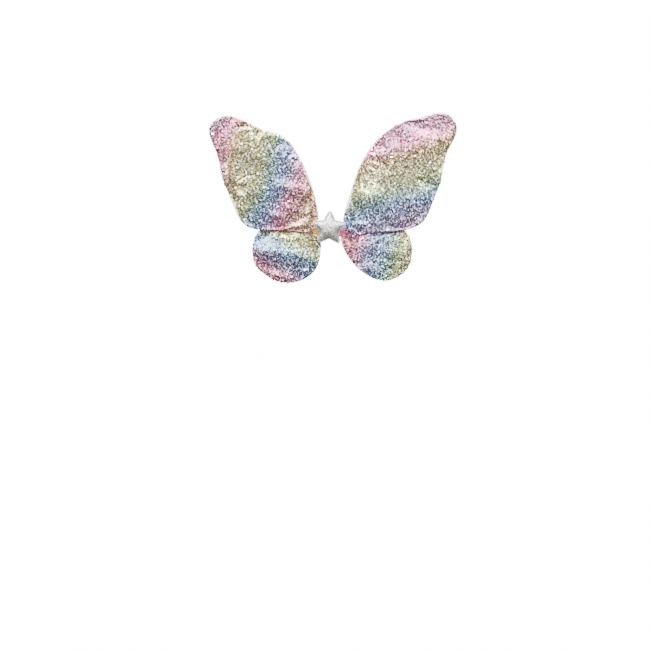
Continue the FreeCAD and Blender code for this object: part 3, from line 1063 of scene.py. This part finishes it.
# A box with a cross in it, drawn in one line, over each of the four ends of the arm loops.
BOX_AND_CROSS = ((-1, -1), (1, -1), (1, 1), (-1, 1), (-1, -1), (1, 1), (1, -1), (-1, 1))
BOX_HALF = (4.6 * MM, 2.5 * MM)
BOX_X = (-30.0 * MM, 30.0 * MM)
BOX_Z = (5.0 * MM, -6.2 * MM)
STITCH_Y = -0.08 * MM
PATCH_STITCH = (1.7 * MM, 0.2 * MM, 0.6 * MM)
rows = [stitch_row(outline, PATCH_STITCH_IN, 500)]
rows += [np.array([x, z]) + np.array(BOX_AND_CROSS) * BOX_HALF for x in BOX_X for z in BOX_Z]
for number, row in enumerate(rows):
    facing = np.tile([0.0, 1.0, 0.0], (len(row), 1))
    sewing = make_stitches(f"patch_stitches_{number}", upright(row, STITCH_Y), facing, *PATCH_STITCH)
    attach(sewing, "centre")


# ---- star ----
# Silver glitter sheet over soft filling and a felt back. It is welded along a groove just inside its
# edge, which leaves a raised rim, and glued and sewn to the front of the body.
STAR_RIM_W = 2.3 * MM
STAR_RIM_H = 1.3 * MM
STAR_GROOVE_H = 0.35 * MM
STAR_GROOVE_W = 0.4 * MM
STAR_GRID = (44, 240)
FELT_ROUND = 0.5 * MM

glitter, glitter_tree = new_material("silver_glitter", Metallic=0.85)
glitter_flake = glitter_tree.cells(1500.0, "Color")
glitter_random = glitter_tree.axis(glitter_flake, "X")
glitter_tint = glitter_tree.mix(0.10, (0.22, 0.21, 0.19, 1), glitter_flake)
glitter_tone = glitter_tree.mix(glitter_random ** 3.0, glitter_tint, (0.66, 0.63, 0.58, 1))
glitter_groove = glitter_tree.attribute("groove")
glitter_facing = glitter_tree.node("ShaderNodeNewGeometry", {}, output="Normal")
glitter_lean = glitter_tree.vector_math("SUBTRACT", [glitter_flake, (0.5, 0.5, 0.5)])
glitter_spread = glitter_tree.vector_math("SCALE", {0: glitter_lean, "Scale": 0.9})
glitter_turned = glitter_tree.vector_math("ADD", [glitter_facing, glitter_spread])
# Along the groove the glitter is darkened toward near black: painted shade in the recess.
glitter_tree.connect(
    Base_Color=glitter_tree.mix(glitter_groove * 0.6, glitter_tone, (0.16, 0.16, 0.16, 1)),
    Roughness=0.30 + 0.25 * glitter_random,
    Normal=glitter_tree.vector_math("NORMALIZE", [glitter_turned]),
)

felt, felt_tree = new_material("grey_felt", Roughness=0.95, Sheen_Weight=0.4)
felt_fibre = felt_tree.noise(900.0, 5.0)
felt_tree.connect(
    Base_Color=felt_tree.mix(felt_fibre, (0.62, 0.62, 0.65, 1), (0.84, 0.84, 0.87, 1)),
    Normal=felt_tree.bump(felt_fibre, 0.9, 0.0003),
)


def spoke_grid(outline, rings, spokes):
    """Places on rings from the outline's middle out to its edge, close together near the edge."""
    share = np.linspace(0, 1, rings) ** 0.75
    angle = full_turn(spokes) - np.pi
    return outline.middle + (share[:, None] * outline.reach(angle))[..., None] * circle(angle)


def spoke_skin(front, back):
    """A closed skin over two grids of rings: front middle to edge, then back edge to middle."""
    points = np.concatenate([front, back[-2::-1]])
    return points, strip_faces(len(points), front.shape[1], close_columns=True)


def soap_film(outline, inset, flat, count=131):
    """How high a film blown from inside the outline stands at each place, from 0 to 1: the root of the
    height whose curvature is even all over and which is 0 on the line that far in from the edge."""
    span = outline.reaches.max()
    line = np.linspace(-span, span, count)
    z, x = np.meshgrid(line, line, indexing="ij")
    place = outline.middle + np.stack([x, z], axis=-1)
    within = np.hypot(x, z) < outline.reach(np.arctan2(z, x))
    free = (within & (outline.depth(place) > inset)).astype(float)
    film = np.zeros((count, count))
    for _ in range(900):
        around = np.roll(film, 1, 0) + np.roll(film, -1, 0) + np.roll(film, 1, 1) + np.roll(film, -1, 1)
        film = free * (around / 4 + 1)
    away = (flat - outline.middle) / span
    return np.sqrt(sample_grid(film[..., None], away[..., 0], away[..., 1])[..., 0] / film.max())


star_outline = Outline(edge_samples("star_backing", per_edge=120))
flat = spoke_grid(star_outline, *STAR_GRID)
depth = star_outline.depth(flat)
depth[-1] = 0
film = soap_film(star_outline, STAR_RIM_W, flat)

low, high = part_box("star_backing")
middle, half = (low[1] + high[1]) / 2, (high[1] - low[1]) / 2 * rounded(depth, FELT_ROUND)
points, faces = spoke_skin(upright(flat, middle - half), upright(flat, middle + half))
backing = outward(merge_poles(new_piece("star_felt", points, faces, felt)))
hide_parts("star_backing")
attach(backing, "centre")

low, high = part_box("star_face")
rim = STAR_RIM_H * np.sqrt(np.clip(1 - (2 * depth / STAR_RIM_W - 1) ** 2, 0, 1))
past_rim = np.clip((depth / STAR_RIM_W - 0.5) * 2, 0, 1)
height = np.maximum(rim, STAR_GROOVE_H * past_rim) + (high[1] - low[1] - STAR_GROOVE_H) * film
height = height * (1 + 0.012 * np.sin(flat[..., 0] * 700) * np.sin(flat[..., 1] * 640 + 1))
points, faces = spoke_skin(upright(flat, high[1] - height), upright(flat, high[1]))
star = new_piece("star_glitter_face", points, faces, glitter)
# How near each place is to the groove, where the glitter's painted shade darkens it.
groove = bell(depth - STAR_RIM_W, STAR_GROOVE_W)
set_attribute(star, "groove", np.concatenate([groove, np.zeros_like(groove[:-1])]))
outward(merge_poles(star))
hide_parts("star_face", "star_padding")
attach(star, "centre")


# ---- arm loops ----
# Two bands of soft ribbed elastic. Each starts under the patch, goes up over the shoulder and back
# under the arm, and is sewn down below where it began.
elastic, elastic_tree = new_material("ribbed_elastic", Roughness=0.6, Sheen_Weight=0.1)
elastic_along = elastic_tree.attribute("along")
elastic_across = elastic_tree.attribute("across")
elastic_knit = (elastic_along * 5200.0).sine() * 0.5 + (elastic_across * 4200.0).sine() * 0.5
elastic_shade = (elastic_knit * 0.25 + 0.2).clipped(0.0, 0.5)
elastic_noise = elastic_tree.noise(320.0, 3.0)
elastic_tone = elastic_tree.mix(elastic_noise, (0.80, 0.30, 0.50, 1), (0.86, 0.40, 0.60, 1))
elastic_tree.connect(
    Base_Color=elastic_tree.mix(elastic_shade, elastic_tone, (0.55, 0.18, 0.34, 1)),
    Normal=elastic_tree.bump(elastic_knit, 0.6, 0.00018),
)

# The band is worked out in millimetres, and becomes metres with its mesh.
SWING_X = 30.0
SWING_Y = 6.0
SPLAY = math.radians(45.0)
BAND_HALF = 6.0
BAND_T = 1.2
BAND_BOXINESS = 0.45
BAND_SIDES = 72
SEWN_Y = -1.92
RIB_PITCH = 1.5
RIB_HIGH = 0.054
RIBBED_HALF = 5.3
# How far the line has come from its sewn ends when the band starts to turn, and over how far it turns.
TURN_START = -2.0
TURN_OVER = 16.0
# How far before and past the swing line a swinging band would bend. Two points are worked out from these
# below, but nothing bends the band.
BEND_FROM = 3.0
BEND_TO = 9.0
SEWN_TOP = ((SEWN_Y, 1.0), (SEWN_Y, 6.0), (SEWN_Y, 11.6), (0.6, 17.0))
SEWN_BOTTOM = ((0.9, -17.5), (SEWN_Y, -13.0), (SEWN_Y, -7.0), (SEWN_Y, -1.5))
# The line of the band as its distance out from the swing line and its height.
LOOP_LINE = (
    (0.0, 25.5), (9.0, 47.0), (28.0, 70.0), (52.0, 78.0), (78.0, 66.0), (92.0, 36.0),
    (90.0, 2.0), (74.0, -28.0), (48.0, -45.0), (22.0, -43.0), (5.0, -32.0), (0.0, -23.5),
)  # fmt: skip


def smooth_line(points, per_span):
    """A Catmull-Rom curve: each span leaves along the line between the points on either side of it."""
    points = np.array(points, float)
    padded = np.concatenate([2 * points[:1] - points[1:2], points, 2 * points[-1:] - points[-2:-1]])
    t = np.linspace(0, 1, per_span, endpoint=False)[None, :, None]
    a, b, c, d = (padded[k : len(padded) - 3 + k][:, None, :] for k in range(4))
    curve = 0.5 * (2 * b + (c - a) * t + (2 * a - 5 * b + 4 * c - d) * t**2 + (3 * b - a - 3 * c + d) * t**3)
    return np.concatenate([curve.reshape(-1, points.shape[1]), points[-1:]])


for side in ("left", "right"):
    sign = -1 if side == "left" else 1
    out = np.array([sign * math.sin(SPLAY), math.cos(SPLAY)])
    route = [(sign * SWING_X, y, z) for y, z in SEWN_TOP]
    route += [(sign * SWING_X + out[0] * u, SWING_Y + out[1] * u, z) for u, z in LOOP_LINE]
    route += [(sign * SWING_X, y, z) for y, z in SEWN_BOTTOM]
    line = smooth_line(route, 16)
    ahead = unit(np.gradient(line, axis=0))
    reach = (line[:, :2] - np.array([sign * SWING_X, SWING_Y])) @ out
    turned = np.clip((reach - TURN_START) / TURN_OVER, 0, 1)
    turned = (turned * turned * (3 - 2 * turned))[:, None]
    flat_across = np.array([1.0, 0.0, 0.0])
    open_across = np.array([out[1], -out[0], 0.0])
    across = flat_across * (1 - turned) + open_across * turned
    across = unit(across - ahead * np.sum(across * ahead, axis=-1, keepdims=True))
    up = np.cross(across, ahead)
    turn = full_turn(BAND_SIDES)
    wide = BAND_HALF * signed_power(np.cos(turn), BAND_BOXINESS)
    thick = BAND_T / 2 * signed_power(np.sin(turn), BAND_BOXINESS)
    ribbed = np.sign(np.sin(turn)) * (np.abs(wide) < RIBBED_HALF)
    thick = thick + RIB_HIGH * np.cos(wide * 2 * np.pi / RIB_PITCH) * ribbed
    closed = np.ones((len(line), 1, 1))
    closed[[0, -1]] = 0
    section = across[:, None] * wide[:, None] + up[:, None] * thick[:, None]
    faces = strip_faces(len(line), BAND_SIDES, close_columns=True)
    strap = new_piece(f"{side}_arm_loop_band", (line[:, None] + closed * section) * MM, faces, elastic)
    travelled = np.concatenate([[0], np.cumsum(np.linalg.norm(np.diff(line, axis=0), axis=-1))]) * MM
    set_attribute(strap, "along", np.broadcast_to(travelled[:, None], (len(line), BAND_SIDES)))
    set_attribute(strap, "across", np.broadcast_to(wide * MM, (len(line), BAND_SIDES)))
    outward(merge_poles(strap))
    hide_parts(f"{side}_strap_loop", f"{side}_strap_upper_end", f"{side}_strap_lower_end")
    pivot = np.array([sign * SWING_X, SWING_Y]) * MM
    begin, finish_at = pivot - out * BEND_FROM * MM, pivot + out * BEND_TO * MM
    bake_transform(strap)


low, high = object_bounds()
